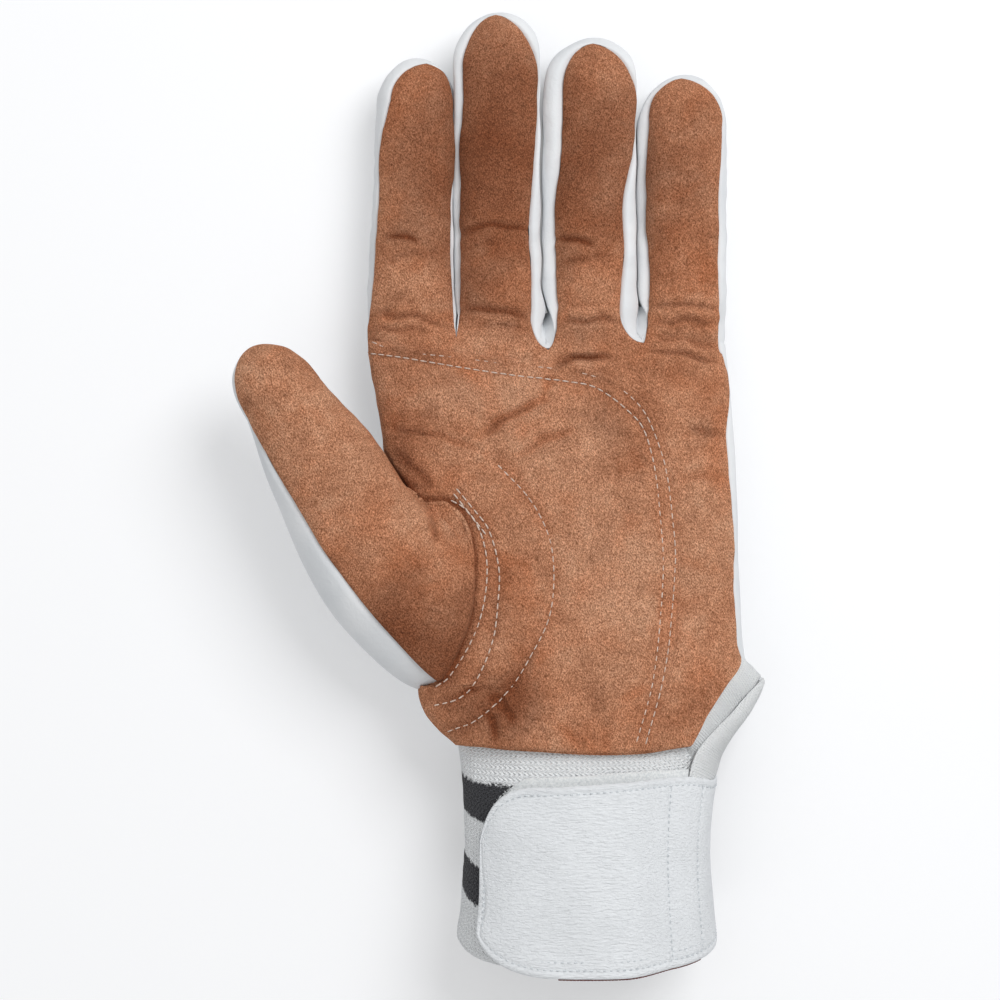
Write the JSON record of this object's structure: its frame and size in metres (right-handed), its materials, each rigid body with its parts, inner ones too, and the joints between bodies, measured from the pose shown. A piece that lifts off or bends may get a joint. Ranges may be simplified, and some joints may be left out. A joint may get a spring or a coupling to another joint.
{
  "type": "wicket keeping inner glove",
  "caption": "Left inner glove with a suede palm and finger fronts, white leather back and finger sides, a vented wrist, a striped knitted cuff and a hook-and-loop closure tab.",
  "frame": {"origin": "middle of the bounding box's lowest face, with the glove lying on its back", "axes": "+Z out of the palm, +Y from the cuff to the fingertips, +X from the thumb to the little finger"},
  "size_m": [0.1396, 0.2542, 0.0439],
  "materials": {
    "suede": "napped",
    "white_leather": "grained",
    "knit": "ribbed knit",
    "foam": "matte",
    "fastener": "pile"
  },
  "bodies": {
    "hand": {"palm_panel": "suede", "palm_patch": "suede", "palm_foam_pad": "foam", "palm_lining": "knit", "back_panel": "white_leather", "palm_vent_binding": "knit", "back_vent_binding": "knit", "index_middle_quirk": "white_leather", "middle_ring_quirk": "white_leather", "ring_little_quirk": "white_leather", "thumb_base_front": "suede", "thumb_base_back": "white_leather", "cuff_band": "knit", "loop_patch": "fastener", "tab_anchor": "white_leather"},
    "index": {"index_front": "suede", "index_back": "white_leather", "index_ulnar_fourchette": "white_leather"},
    "middle": {"middle_front": "suede", "middle_back": "white_leather", "middle_radial_fourchette": "white_leather", "middle_ulnar_fourchette": "white_leather"},
    "ring": {"ring_front": "suede", "ring_back": "white_leather", "ring_radial_fourchette": "white_leather", "ring_ulnar_fourchette": "white_leather"},
    "little": {"little_front": "suede", "little_back": "white_leather", "little_radial_fourchette": "white_leather"},
    "thumb": {"thumb_front": "suede", "thumb_back": "white_leather"},
    "tab": {"closure_tab": "white_leather", "hook_patch": "fastener"}
  },
  "joints": [
    {"name": "index_flex", "type": "hinge", "parent": "hand", "child": "index", "pos_m": [-0.02434, 0.03786, 0.0164], "axis": [0.9997, -0.0262, 0], "range_deg": [0, 60]},
    {"name": "middle_flex", "type": "hinge", "parent": "hand", "child": "middle", "pos_m": [0.00046, 0.03786, 0.0164], "axis": [1, 0.007, 0], "range_deg": [0, 60]},
    {"name": "ring_flex", "type": "hinge", "parent": "hand", "child": "ring", "pos_m": [0.02536, 0.03786, 0.0164], "axis": [1, 0, 0], "range_deg": [0, 60]},
    {"name": "little_flex", "type": "hinge", "parent": "hand", "child": "little", "pos_m": [0.04961, 0.03786, 0.0164], "axis": [1, -0.0035, 0], "range_deg": [0, 60]},
    {"name": "thumb_flex", "type": "hinge", "parent": "hand", "child": "thumb", "pos_m": [-0.04044, -0.00562, 0.03425], "axis": [0.866, 0.5, 0], "range_deg": [0, 45]},
    {"name": "tab_open", "type": "hinge", "parent": "hand", "child": "tab", "pos_m": [0.04799, -0.10062, 0.03401], "axis": [-0.0184, 0.9954, -0.0939], "range_deg": [0, 140]}
  ]
}
